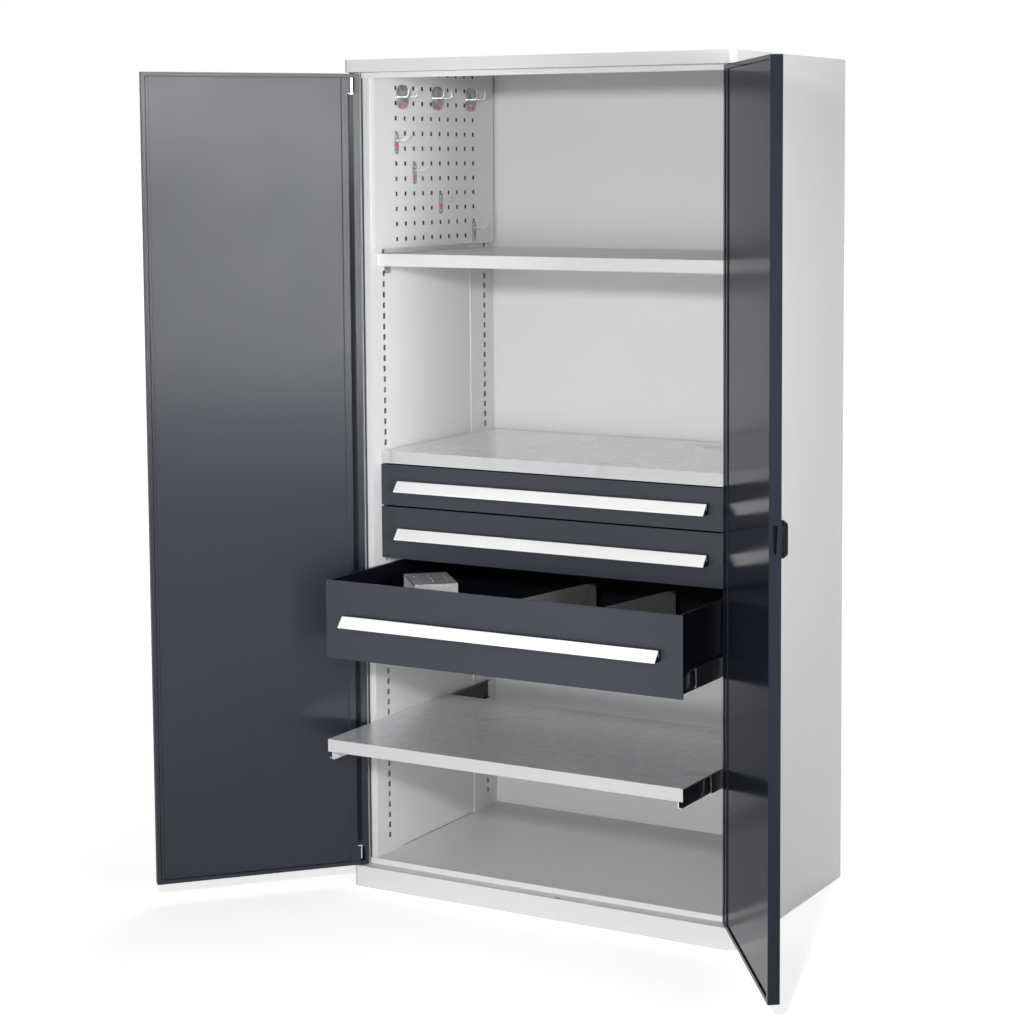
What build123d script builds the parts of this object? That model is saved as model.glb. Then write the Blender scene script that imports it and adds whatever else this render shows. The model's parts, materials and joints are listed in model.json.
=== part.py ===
"""Heavy-duty storage cabinet with two hinged doors, drawers, shelves and a tool wall.

Millimetres, +Z up. The origin is on the floor at the centre of the carcass, the front faces -Y.
The cabinet is modelled as it stands in use: both doors open, the lowest drawer and the
pull-out shelf drawn partly out.
"""
import os
from math import atan, cos, degrees, radians, sin

from build123d import *

# Carcass
width = 1000
depth = 600
height = 1950
sheet = 1.5             # steel of the carcass
side_wall = 43          # from the outer skin to the inner face of the uprights
back_wall = 12          # depth of the back panel's tray
fascia_height = 28.5
plinth_height = 50
door_recess = 33        # how far fascia and plinth stand in front of the frame
corner_radius = 14      # bend of the fascia's and the plinth's corners
floor_height = 63       # top of the bottom panel
header_drop = 41.5      # from the top of the cabinet to the lower edge of the frame's header
ceiling_drop = 16       # from the top of the cabinet to the ceiling inside
header_lip = 7          # shorter than the setback of the front uprights
stile_width = 26        # front flange of the side panel
stile_return = 10       # lip that the flange turns back
top_seam = 0.3          # hairline between the top cover and the side panels

# Slotted uprights
post_setback = 8        # from the frame's front to the face of the front upright
front_post_depth = 107
rear_post_depth = 110
slot_width = 9
slot_height = 13
slot_pitch = 25
slot_first = 104.5      # height of the lowest slot
slot_front = 94         # from the front plane to the front row of slots
slot_rear = 44          # from the back panel's field to the rear row
liner_setback = 2.5     # the wall liner lies this much behind the uprights
liner_return = 15

# Doors
door_width = 497
door_thickness = 25
door_sheet = 1.2
door_gap = 3            # above and below a door
pin_inset = 14.5        # from the hinge-side edge to the hinge pin
pin_radius = 4
pin_standout = 10       # how far a pin reaches past the door's end
pin_length = 55
pin_foot = 2            # plate that carries the inner end of a pin
bush_radius = 6
bush_length = 8
free_lip = 8.5          # return lip along the free edge
end_lip = 9             # return lips along the top and the bottom
hinge_window = 32       # opening beside each pin
window_width = 13
window_end = 9.5        # from the door's end to the window
groove_width = 12       # open channel behind the hinge-side lip
liner_sheet = 1.0
liner_rim = 14.5        # raised rim of the inner panel on the hinge side
free_rim = 5.5          # raised rim on the free side
rim_drop = 0.6          # rim below the door's lips
panel_drop = 2.5        # main field below the rim
lip_seam = 1.3          # shadow gap between rim and free-edge lip
left_open = 133         # degrees that the left door stands open
right_open = 126        # degrees that the right door stands open

# Lock in the right door
lock_inset = 53.5       # from the free edge to the handle's axis
lock_height = 975
knob_height = 80
knob_width = 34
knob_depth = 19
knob_corner = 16        # radius of the handle's ends in plan
knob_waist = 12         # height of the handle's steep lower part
knob_shoulder = 2       # inset of the outline at the top of that part
knob_crown = 7.5        # inset of the outline at the handle's flat top
rose_height = 96
rose_width = 42
rose_corner = 20
rose_depth = 3
rose_slope = 1          # inset of the rose's outer edge
spindle_radius = 4
plug_radius = 6
plug_depth = 12
key_width = 2           # keyway
key_height = 8
key_depth = 6
case_height = 110
case_width = 44
case_depth = 16
case_back = 4           # clearance behind the spindle's end inside the case
rod_radius = 4
rod_offset = 2          # from the door's middle plane towards its outer face
rod_in_case = 30
rod_retreat = 2         # rod ends inside the door when it is unlocked
guide_size = 18
guide_height = 12
guide_inset = 70        # guides above the door's lower and below its upper end
rod_hole = 10
latch_height = 58
latch_top = 10.4
latch_foot = 6.6
latch_depth = 9
latch_above = 8         # centre of the latch slot above the handle's axis

# Drawers, measured from the front plane and from the floor
front_gap = 1           # on either side of a drawer's front
front_setback = 73      # face of a closed drawer
front_depth = 4
drawer_bottoms = (909, 783, 586)
drawer_tops = (1005, 905, 766)
drawer_out = (0, 0, 230)
drawer_follow = 0.82    # travel of the middle slide members for a drawer's 1
box_gap = 25            # behind a closed drawer
box_sheet = 1.2
box_inset = 4           # the box's wide part is this much narrower than the front on either side
slide_thickness = 12.7
box_floor = 5           # above the lower edge of the front
box_step = 62           # height of the narrow lower part of the box
hem_width = 7
hem_height = 5
back_drop = 14
grip_inset = 52         # from the end of a drawer's front to the end of its grip strip
grip_seat = 10          # the strip stands off the front on a black seat
grip_flange = 14
grip_reach = 17
grip_drop = 24
grip_sheet = 2.2
grip_end = 2            # plates that close the seat's two ends under the strip
bay_width = 208.15      # each of the two bays at the right of the lowest drawer
partition_foot = 16
partition_step = 4      # partitions end this much below the hem of the drawer's rim
partition_fall = 29     # their rear ends below the rim
partition_gap = 93      # behind them
tray_inset = 159.3      # foremost corner of the punched tray from the box's narrow left side
tray_y = 102
tray_turn = 43          # degrees
tray_length = 101
tray_depth = 150
tray_drop = 16          # below the drawer's rim
tray_hole = 4
tray_pitch = 34

# Telescopic slides
slide_gap = 20          # behind the fixed members
slide_height = 45
slide_sheet = 1.4
slide_rise = 11         # above the lower edge of the front
slide_start = 98        # from the front plane to the front end of the fixed member
slide_inset = 2.0       # step between nested members

# Shelves
shelf_gap = 1           # on either side of a shelf
shelf_back_gap = 6      # behind the fixed shelf
shelf_sheet = 1.5
shelf_edge = 29
shelf_hem = 12
upper_shelf_gap = 10    # between the perforated panel and the upper shelf
upper_shelf_setback = 66
fixed_shelf_top = 1037
fixed_shelf_setback = 75
pull_shelf_top = 395
pull_shelf_out = 230
shelf_follow = 0.4      # travel of the middle slide members for the pull-out shelf's 1
field_clearance = 1     # between the pull-out shelf's field and its slides
clip_shift = 14         # front clips behind the row of slots
clip_width = 24
clip_drop = 18
clip_reach = 16
clip_sheet = 1.8

# Tool wall
panel_front = 48        # from the front plane to the front edge of the perforated panel
panel_rear_gap = 12     # between its rear edge and the back panel
panel_height = 422      # hangs from the ceiling
panel_return = 10
hole_size = 10
hole_pitch_y = 38
hole_pitch_z = 35.5
hole_columns = 10
hole_rows = 12
hole_first_y = 138
hole_foot = 22          # lowest row above the panel's lower edge
wire_radius = 2.2
plate_sheet = 2
double_width = 50       # plate of a double hook
double_height = 57
double_corner = 17
double_reach = 30       # from the plate to the upright tip
double_tip = 17
single_width = 16       # plate of a single hook
single_height = 52
single_corner = 7
single_eye = 17         # from the plate's centre to the eyes in it
single_eye_radius = 4.8
single_cap_radius = 4.5
double_cap_radius = 3.2
double_cap_drop = 21
cap_spread = 6.3
cap_drop = 6.5
cap_height = 3.5

# Straight sides that stand for a round one
bar_sides = 12          # pins, rods, bushes and their bores
wire_sides = 6
knob_steps = 5          # in a quarter turn of the handle and its rose
double_steps = 3        # in a quarter turn of a hook's plate
single_steps = 2

# Places that follow from the sizes above
front_y = -depth / 2
back_y = depth / 2
half_width = width / 2
frame_y = front_y + door_recess
inner_half = half_width - side_wall
inner_back_y = back_y - back_wall
ceiling_z = height - ceiling_drop
header_z = height - header_drop
front_slot_y = front_y + slot_front
rear_slot_y = inner_back_y - slot_rear
soffit_z = height - fascia_height
stile_x = half_width - stile_width
door_bottom = plinth_height + door_gap
door_top = soffit_z - door_gap
door_height = door_top - door_bottom
pin_x = half_width - 1 - pin_inset
pin_y = front_y + door_thickness / 2
door_end = door_width - pin_inset          # free edge, measured from the pin
half_door = door_thickness / 2
lock_s = door_end - lock_inset
rod_n = -rod_offset
rod_x = pin_x - lock_s
rod_y = front_y + half_door - rod_offset
box_low_half = inner_half - slide_thickness
front_width = 2 * (inner_half - front_gap)
box_width = front_width - 2 * box_inset
box_depth = depth - back_wall - front_setback - front_depth - box_gap
grip_half = front_width / 2 - grip_inset
slide_length = depth - back_wall - slide_start - slide_gap
shelf_width = 2 * (inner_half - shelf_gap)
shelf_depth = depth - back_wall - fixed_shelf_setback - shelf_back_gap
panel_width = depth - back_wall - panel_front - panel_rear_gap
panel_bottom = ceiling_z - panel_height
hole_first_z = panel_bottom + hole_foot
upper_shelf_top = panel_bottom - upper_shelf_gap
gap = 0.3               # between pieces that move against each other


def sheet_profile(points, thickness=sheet, side=Side.LEFT, radius=0):
    """The cut edge of a folded sheet whose visible face follows the points."""
    with BuildLine() as section:
        if radius:
            FilletPolyline(*points, radius=radius)
        else:
            Polyline(*points)
        offset(amount=thickness, side=side, kind=Kind.INTERSECTION)
    make_face(section.edges())


def bar(radius, mode=Mode.ADD):
    """Section of a round bar."""
    RegularPolygon(radius, bar_sides, mode=mode)


def bore(radius, mode=Mode.SUBTRACT):
    """Section of a hole that a bar of this radius just fills in every turn."""
    RegularPolygon(radius, bar_sides, major_radius=False, mode=mode)


def rounded_plate(across, tall, radius, steps):
    """An upright plate whose four corners are rounded in a few steps."""
    points = []
    for quarter, (right, up) in enumerate(((1, 1), (-1, 1), (-1, -1), (1, -1))):
        for step in range(steps + 1):
            turn = radians(90 * (quarter + step / steps))
            points.append(
                (
                    right * (across / 2 - radius) + radius * cos(turn),
                    up * (tall / 2 - radius) + radius * sin(turn),
                )
            )
    Polygon(*points)


def plane_at_x(x):
    """A plane square to X whose own axes are world Y and Z."""
    return Plane(origin=(x, 0, 0), x_dir=(0, 1, 0), z_dir=(1, 0, 0))


def plane_at_y(y):
    """A plane square to Y, seen from behind: its own axes are world -X and Z."""
    return Plane(origin=(0, y, 0), x_dir=(-1, 0, 0), z_dir=(0, 1, 0))


def finish(part, name):
    part.part.label = name
    export_step(part.part, f"parts/{name}.step")


os.makedirs("parts", exist_ok=True)

# Side panels: one folded sheet each, from the stile's return lip round to the back
with BuildPart() as side_panel_left:
    with BuildSketch(Plane.XY):
        sheet_profile(
            [
                (-stile_x, frame_y + stile_return),
                (-stile_x, frame_y),
                (-half_width, frame_y),
                (-half_width, back_y),
            ],
            side=Side.RIGHT,
        )
    extrude(amount=height)
    with BuildSketch(Plane.XY.offset(height - sheet)):
        with Locations(((sheet - half_width - stile_x) / 2, frame_y + stile_return / 2)):
            Rectangle(stile_width - sheet, stile_return)
    extrude(amount=sheet, mode=Mode.SUBTRACT)
finish(side_panel_left, "side_panel_left")

with BuildPart() as side_panel_right:
    mirror(side_panel_left.part, about=Plane.YZ)
finish(side_panel_right, "side_panel_right")

# Back panel: a tray between the side panels, its field flush with the back of the space inside
skin_half = half_width - sheet
with BuildPart() as back_panel:
    with BuildSketch(Plane.XY):
        sheet_profile(
            [
                (-skin_half, back_y),
                (-skin_half, inner_back_y),
                (skin_half, inner_back_y),
                (skin_half, back_y),
            ],
        )
    extrude(amount=height - sheet)
finish(back_panel, "back_panel")


def deck_outline():
    """The plan of the fascia's and the plinth's decks, rounded at the two front corners."""
    with BuildLine() as outline:
        corners = FilletPolyline(
            (-half_width, frame_y),
            (-half_width, front_y),
            (half_width, front_y),
            (half_width, frame_y),
            radius=corner_radius,
        )
        Line(corners @ 1, corners @ 0)
    make_face(outline.edges())


def wrap_outline():
    """The sheet that wraps round the front and both corners of the fascia or the plinth."""
    sheet_profile(
        [
            (-half_width, frame_y),
            (-half_width, front_y),
            (half_width, front_y),
            (half_width, frame_y),
        ],
        radius=corner_radius,
    )


# Plinth: front sheet wrapped round both corners, with the deck that the doors stand over
with BuildPart() as plinth:
    with BuildSketch(Plane.XY):
        wrap_outline()
    extrude(amount=plinth_height)
    with BuildSketch(Plane.XY.offset(plinth_height - sheet)):
        deck_outline()
        with Locations((-pin_x, pin_y), (pin_x, pin_y)):
            bar(bush_radius, mode=Mode.SUBTRACT)
        with Locations((rod_x, rod_y)):
            Rectangle(rod_hole + 5, rod_hole, mode=Mode.SUBTRACT)
    extrude(amount=sheet)
finish(plinth, "plinth")

# Top cover: lid, fascia and soffit in one, let in between the two side panels
with BuildPart() as top_cover:
    with BuildSketch(Plane.XY.offset(soffit_z)):
        wrap_outline()
    extrude(amount=fascia_height)
    with BuildSketch(Plane.XY.offset(soffit_z)):
        deck_outline()
        with Locations((-pin_x, pin_y), (pin_x, pin_y)):
            bar(bush_radius, mode=Mode.SUBTRACT)
        with Locations((rod_x, rod_y)):
            Rectangle(rod_hole + 5, rod_hole, mode=Mode.SUBTRACT)
    extrude(amount=sheet)
    with BuildSketch(Plane.XY.offset(height - sheet)):
        deck_outline()
        with Locations((0, (frame_y + back_y) / 2)):
            Rectangle(2 * (skin_half - top_seam), back_y - frame_y)
    extrude(amount=sheet)
finish(top_cover, "top_cover")

# Bottom panel: a pan whose four folded sides stand on the ground, the front one closes the frame
panel_length = inner_back_y - frame_y
with BuildPart() as floor_panel:
    with BuildSketch(Plane.XY):
        with Locations((0, (frame_y + inner_back_y) / 2)):
            Rectangle(2 * inner_half, panel_length)
    extrude(amount=floor_height)
    offset(amount=-sheet, openings=floor_panel.faces().sort_by(Axis.Z)[0])
    with BuildSketch(Plane.XY):
        with Locations((0, frame_y + sheet / 2)):
            Rectangle(2 * (stile_x - sheet), sheet)
    extrude(amount=floor_height)
finish(floor_panel, "floor_panel")

# Ceiling close under the lid, and the header that closes the frame in front and returns inward
with BuildPart() as ceiling_panel:
    with BuildSketch(Plane.XY.offset(ceiling_z)):
        with Locations((0, (frame_y + inner_back_y) / 2)):
            Rectangle(2 * inner_half, panel_length)
    extrude(amount=sheet)
    with BuildSketch(plane_at_x(sheet - stile_x)):
        sheet_profile(
            [
                (frame_y + header_lip, header_z),
                (frame_y, header_z),
                (frame_y, height - sheet),
            ],
            side=Side.RIGHT,
        )
    extrude(amount=2 * (stile_x - sheet))
finish(ceiling_panel, "ceiling_panel")

# Slotted uprights: two folded posts in each side wall
slot_count = int((header_z - slot_first) / slot_pitch)
post_y = frame_y + post_setback
front_post_end = post_y + front_post_depth
rear_post_y = inner_back_y - rear_post_depth


def slot_row(y):
    """Slots through the inner face of an upright, one above the other."""
    middle = slot_first + (slot_count - 1) * slot_pitch / 2
    with BuildSketch(plane_at_x(-inner_half - sheet)) as slots:
        with Locations((y, middle)):
            with GridLocations(0, slot_pitch, 1, slot_count):
                Rectangle(slot_width, slot_height)
    extrude(slots.sketch, amount=sheet, mode=Mode.SUBTRACT)


with BuildPart() as upright_front_left:
    with BuildSketch(Plane.XY):
        sheet_profile(
            [
                (-stile_x, post_y),
                (-inner_half, post_y),
                (-inner_half, front_post_end),
                (-skin_half, front_post_end),
            ],
        )
    extrude(amount=height - sheet)
    slot_row(front_slot_y)
finish(upright_front_left, "upright_front_left")

with BuildPart() as upright_rear_left:
    with BuildSketch(Plane.XY):
        sheet_profile(
            [
                (-skin_half, rear_post_y),
                (-inner_half, rear_post_y),
                (-inner_half, inner_back_y),
            ],
        )
    extrude(amount=height - sheet)
    slot_row(rear_slot_y)
finish(upright_rear_left, "upright_rear_left")

with BuildPart() as upright_front_right:
    mirror(upright_front_left.part, about=Plane.YZ)
finish(upright_front_right, "upright_front_right")

with BuildPart() as upright_rear_right:
    mirror(upright_rear_left.part, about=Plane.YZ)
finish(upright_rear_right, "upright_rear_right")

# Wall liners: shallow trays between the uprights
liner_x = inner_half + liner_setback
with BuildPart() as wall_liner_left:
    with BuildSketch(Plane.XY.offset(floor_height)):
        sheet_profile(
            [
                (-liner_x - liner_return, front_post_end),
                (-liner_x, front_post_end),
                (-liner_x, rear_post_y),
                (-liner_x - liner_return, rear_post_y),
            ],
        )
    extrude(amount=ceiling_z - floor_height)
finish(wall_liner_left, "wall_liner_left")

with BuildPart() as wall_liner_right:
    mirror(wall_liner_left.part, about=Plane.YZ)
finish(wall_liner_right, "wall_liner_right")

# Hinge bushes in the soffit and in the plinth's deck
with BuildPart() as hinge_bushes:
    for low in (plinth_height - bush_length, soffit_z - door_gap + gap):
        with BuildSketch(Plane.XY.offset(low)):
            with Locations((-pin_x, pin_y), (pin_x, pin_y)):
                bar(bush_radius)
                bore(pin_radius + gap)
        extrude(amount=bush_length + door_gap - gap)
finish(hinge_bushes, "hinge_bushes")


# Doors. A door's own frame starts at its pin: s runs along the door to the free edge,
# n from its middle plane towards the inside of the closed cabinet. side is -1 or 1.
def door_plane(side, angle, z):
    along = (-side * cos(radians(angle)), -sin(radians(angle)), 0)
    return Plane(origin=(side * pin_x, pin_y, z), x_dir=along, z_dir=(0, 0, 1))


def outward_plane(side, angle, s, n, z):
    """A plane on a door, facing out of it, with its own x along the door and its y up or down."""
    base = door_plane(side, angle, z)
    spot = base.from_local_coords((s, -side * n, 0))
    out = base.from_local_coords((0, side, 0)) - base.origin
    return Plane(origin=spot, x_dir=base.x_dir, z_dir=out)


def door_shell(side, angle):
    """Outer pan of a door: skin, edges, return lips and the corners round its two pins."""

    def at(s, n):
        return (s, -side * n)

    def strip(s0, s1, n0, n1, mode=Mode.ADD):
        with Locations(at((s0 + s1) / 2, (n0 + n1) / 2)):
            Rectangle(s1 - s0, n1 - n0, mode=mode)

    with BuildPart() as shell:
        with BuildSketch(door_plane(side, angle, door_bottom)):
            sheet_profile(
                [
                    at(0, half_door),
                    at(-pin_inset, half_door),
                    at(-pin_inset, -half_door),
                    at(door_end, -half_door),
                    at(door_end, half_door),
                    at(door_end - free_lip, half_door),
                ],
                thickness=door_sheet,
                side=Side.LEFT if side < 0 else Side.RIGHT,
            )
        extrude(amount=door_height)
        for low, lip_low in ((door_bottom, door_bottom), (door_top - door_sheet, door_top - end_lip)):
            with BuildSketch(door_plane(side, angle, low)):
                strip(-pin_inset, door_end, -half_door, half_door)
                bar(pin_radius, mode=Mode.SUBTRACT)
                if side > 0:
                    with Locations(at(lock_s, rod_n)):
                        bore(rod_radius + gap)
            extrude(amount=door_sheet)
            with BuildSketch(door_plane(side, angle, lip_low)):
                strip(-pin_inset, door_end, half_door - door_sheet, half_door)
            extrude(amount=end_lip)
        corner = window_end + hinge_window + 1
        for low in (door_bottom, door_top - corner):
            with BuildSketch(door_plane(side, angle, low)):
                strip(-pin_inset, groove_width - gap, half_door - door_sheet, half_door)
            extrude(amount=corner)
        for low in (door_bottom + window_end, door_top - window_end - hinge_window):
            with BuildSketch(door_plane(side, angle, low)):
                strip(-window_width / 2, window_width / 2, half_door - 2 * door_sheet, half_door + 1)
            extrude(amount=hinge_window, mode=Mode.SUBTRACT)
        if side > 0:
            with BuildSketch(outward_plane(side, angle, lock_s, -half_door + door_sheet, lock_height)):
                bore(spindle_radius + gap, mode=Mode.ADD)
            extrude(amount=2 * door_sheet, both=True, mode=Mode.SUBTRACT)
            with BuildSketch(free_edge_plane(angle)):
                latch_outline(0)
            extrude(amount=-latch_depth, mode=Mode.SUBTRACT)
    return shell


def free_edge_plane(angle):
    """A plane on the right door's free edge, facing out of it, with its own y straight up."""
    base = door_plane(1, angle, lock_height + latch_above)
    spot = base.from_local_coords((door_end, 0, 0))
    across = base.from_local_coords((0, 1, 0)) - base.origin
    return Plane(origin=spot, x_dir=across, z_dir=base.x_dir)


def latch_outline(inset):
    """The tapered mouth of the latch, narrow at its foot."""
    top = latch_height / 2 - inset
    with BuildLine() as outline:
        Polyline(
            (-latch_top / 2 + inset, top),
            (latch_top / 2 - inset, top),
            (latch_foot / 2 - inset, -top),
            (-latch_foot / 2 + inset, -top),
            close=True,
        )
    make_face(outline.edges())


def door_liner(side, angle):
    """Inner panel of a door: a recessed field between two raised rims that reach down to the skin."""

    def at(s, n):
        return (s, -side * n)

    skin_n = -half_door + door_sheet
    rim_n = half_door - rim_drop
    field_n = rim_n - panel_drop
    rim_end = groove_width + liner_rim
    free_end = door_end - free_lip - lip_seam
    field_end = free_end - free_rim
    with BuildPart() as liner:
        with BuildSketch(door_plane(side, angle, door_bottom + end_lip + 1)):
            sheet_profile(
                [
                    at(groove_width, skin_n),
                    at(groove_width, rim_n),
                    at(rim_end, rim_n),
                    at(rim_end + panel_drop, field_n),
                    at(field_end - 1, field_n),
                    at(field_end, rim_n),
                    at(free_end, rim_n),
                    at(free_end, skin_n),
                ],
                thickness=liner_sheet,
                side=Side.RIGHT if side < 0 else Side.LEFT,
            )
        extrude(amount=door_height - 2 * (end_lip + 1))
    return liner


def door_pins(side, angle):
    """Both hinge pins of a door, each with the plate that carries its inner end."""
    with BuildPart() as pins:
        for end, up in ((door_top, 1), (door_bottom, -1)):
            start = end + pin_standout if up > 0 else end - pin_standout
            foot = start - up * pin_length
            with BuildSketch(door_plane(side, angle, foot)):
                bar(pin_radius)
            extrude(amount=up * pin_length)
            with BuildSketch(door_plane(side, angle, foot)):
                Rectangle(2 * (pin_inset - door_sheet - 2.5), door_thickness - 2 * door_sheet)
            extrude(amount=-up * pin_foot)
    return pins


left_door_shell = door_shell(-1, left_open)
finish(left_door_shell, "left_door_shell")
left_door_liner = door_liner(-1, left_open)
finish(left_door_liner, "left_door_liner")
left_hinge_pins = door_pins(-1, left_open)
finish(left_hinge_pins, "left_hinge_pins")
right_door_shell = door_shell(1, right_open)
finish(right_door_shell, "right_door_shell")
right_door_liner = door_liner(1, right_open)
finish(right_door_liner, "right_door_liner")
right_hinge_pins = door_pins(1, right_open)
finish(right_hinge_pins, "right_hinge_pins")

# Latch insert: a moulded box behind the tapered mouth in the free edge
with BuildPart() as latch_insert:
    with BuildSketch(free_edge_plane(right_open).offset(-latch_depth)):
        latch_outline(gap)
    extrude(amount=latch_depth - 0.5)
    with BuildSketch(free_edge_plane(right_open).offset(-0.5)):
        latch_outline(1.5)
    extrude(amount=-latch_depth + 2.5, mode=Mode.SUBTRACT)
finish(latch_insert, "latch_insert")

# Lock case between skin and inner panel, bored for the spindle and both rods
case_n = -half_door + door_sheet
with BuildPart() as lock_case:
    with BuildSketch(outward_plane(1, right_open, lock_s, case_n, lock_height)):
        Rectangle(case_width, case_height)
    extrude(amount=-case_depth)
    with BuildSketch(outward_plane(1, right_open, lock_s, case_n, lock_height)):
        bore(spindle_radius + gap, mode=Mode.ADD)
    extrude(amount=-case_depth + 3, mode=Mode.SUBTRACT)
    for low in (lock_height + case_height / 2 - rod_in_case - 1, lock_height - case_height / 2):
        with BuildSketch(door_plane(1, right_open, low)):
            with Locations((lock_s, -rod_n)):
                bore(rod_radius + gap, mode=Mode.ADD)
        extrude(amount=rod_in_case + 1, mode=Mode.SUBTRACT)
finish(lock_case, "lock_case")

# Rose on the outside of the door, handle with its spindle, and the key plug in the handle
with BuildPart() as handle_rose:
    with BuildSketch(outward_plane(1, right_open, lock_s, -half_door, lock_height)):
        rounded_plate(rose_width, rose_height, rose_corner, knob_steps)
    extrude(amount=rose_depth, taper=degrees(atan(rose_slope / rose_depth)))
    with BuildSketch(outward_plane(1, right_open, lock_s, -half_door, lock_height)):
        bore(spindle_radius + gap, mode=Mode.ADD)
    extrude(amount=rose_depth, mode=Mode.SUBTRACT)
finish(handle_rose, "handle_rose")

knob_n = -half_door - rose_depth - gap
with BuildPart() as lock_handle:
    for rise, inset, top, top_inset in (
        (0, 0, knob_waist, knob_shoulder),
        (knob_waist, knob_shoulder, knob_depth, knob_crown),
    ):
        with BuildSketch(outward_plane(1, right_open, lock_s, knob_n - rise, lock_height)):
            rounded_plate(knob_width - 2 * inset, knob_height - 2 * inset, knob_corner - inset, knob_steps)
        extrude(amount=top - rise, taper=degrees(atan((top_inset - inset) / (top - rise))))
    with BuildSketch(outward_plane(1, right_open, lock_s, knob_n - knob_depth, lock_height)):
        bore(plug_radius + gap, mode=Mode.ADD)
    extrude(amount=-plug_depth, mode=Mode.SUBTRACT)
    with BuildSketch(outward_plane(1, right_open, lock_s, knob_n, lock_height)):
        bar(spindle_radius)
    extrude(amount=-(rose_depth + gap + door_sheet + case_depth - case_back))
finish(lock_handle, "lock_handle")

with BuildPart() as key_plug:
    with BuildSketch(outward_plane(1, right_open, lock_s, knob_n - knob_depth + plug_depth - gap, lock_height)):
        bar(plug_radius)
    extrude(amount=plug_depth)
    with BuildSketch(outward_plane(1, right_open, lock_s, knob_n - knob_depth - gap, lock_height)):
        Rectangle(key_width, key_height)
    extrude(amount=-key_depth, mode=Mode.SUBTRACT)
finish(key_plug, "key_plug")

# Locking rods, drawn back inside the door, and their guides
rod_low = lock_height + case_height / 2 - rod_in_case
with BuildPart() as lock_rod_upper:
    with BuildSketch(door_plane(1, right_open, rod_low)):
        with Locations((lock_s, -rod_n)):
            bar(rod_radius)
    extrude(amount=door_top - rod_retreat - rod_low)
finish(lock_rod_upper, "lock_rod_upper")

rod_high = lock_height - case_height / 2 + rod_in_case
with BuildPart() as lock_rod_lower:
    with BuildSketch(door_plane(1, right_open, door_bottom + rod_retreat)):
        with Locations((lock_s, -rod_n)):
            bar(rod_radius)
    extrude(amount=rod_high - door_bottom - rod_retreat)
finish(lock_rod_lower, "lock_rod_lower")

guide_heights = (door_bottom + guide_inset, door_top - guide_inset)
with BuildPart() as rod_guides:
    for z in guide_heights:
        with BuildSketch(door_plane(1, right_open, z)):
            with Locations((lock_s, half_door - door_sheet - guide_size / 2)):
                Rectangle(guide_size, guide_size)
            with Locations((lock_s, -rod_n)):
                bore(rod_radius + gap)
        extrude(amount=guide_height)
finish(rod_guides, "rod_guides")


# Drawers. out is how far a drawer stands drawn out of its closed place.
def drawer_front(low, high, out):
    """Front of a drawer: a pan open at the back."""
    face_y = front_y + front_setback - out
    with BuildPart() as front:
        with BuildSketch(plane_at_y(face_y)):
            with Locations((0, (low + high) / 2)):
                Rectangle(front_width, high - low)
        extrude(amount=front_depth)
        back = front.faces().sort_by(Axis.Y)[-1]
        offset(amount=-box_sheet, openings=back)
    return front


def box_profile(low, high):
    """Cut through a drawer's box: hemmed rims, wide upper sides, a step, narrow lower sides."""
    half = box_width / 2
    step_z = low + box_step
    sheet_profile(
        [
            (half - hem_width, high - hem_height),
            (half - hem_width, high),
            (half, high),
            (half, step_z),
            (box_low_half, step_z - (half - box_low_half)),
            (box_low_half, low + box_floor),
            (-box_low_half, low + box_floor),
            (-box_low_half, step_z - (half - box_low_half)),
            (-half, step_z),
            (-half, high),
            (-half + hem_width, high),
            (-half + hem_width, high - hem_height),
        ],
        thickness=box_sheet,
        side=Side.RIGHT,
    )


def wall_outline(low, high):
    """Outline of a drawer's end wall, inside its folded sides."""
    inner = box_width / 2 - box_sheet
    low_inner = box_low_half - box_sheet
    step_z = low + box_step
    step_low = step_z - (box_width / 2 - box_low_half)
    with BuildLine() as outline:
        Polyline(
            (inner, high),
            (inner, step_z),
            (low_inner, step_low),
            (low_inner, low + box_floor + box_sheet),
            (-low_inner, low + box_floor + box_sheet),
            (-low_inner, step_low),
            (-inner, step_z),
            (-inner, high),
            close=True,
        )
    make_face(outline.edges())


def drawer_box(low, high, out):
    start_y = front_y + front_setback + front_depth - out
    with BuildPart() as box:
        with BuildSketch(plane_at_y(start_y)):
            box_profile(low, high)
        extrude(amount=box_depth)
        with BuildSketch(plane_at_y(start_y)):
            wall_outline(low, high - hem_height - box_sheet)
        extrude(amount=box_sheet)
        with BuildSketch(plane_at_y(start_y + box_depth - box_sheet)):
            wall_outline(low, high - back_drop)
        extrude(amount=box_sheet)
    return box


def drawer_grip(low, high, out):
    """Grip strip: a flange on its seat and a blade that slopes down and out from it."""
    face_y = front_y + front_setback - out - grip_seat
    top = (low + high) / 2 + grip_drop / 2
    with BuildPart() as grip:
        with BuildSketch(plane_at_x(-grip_half)):
            with BuildLine():
                Polyline(
                    (face_y, top - grip_flange),
                    (face_y, top),
                    (face_y - grip_sheet, top),
                    (face_y - grip_reach - grip_sheet, top - grip_drop + grip_sheet),
                    (face_y - grip_reach - grip_sheet, top - grip_drop),
                    (face_y - grip_reach, top - grip_drop),
                    (face_y - grip_sheet, top - 2 * grip_sheet),
                    (face_y - grip_sheet, top - grip_flange),
                    close=True,
                )
            make_face()
        extrude(amount=2 * grip_half)
    return grip


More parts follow.
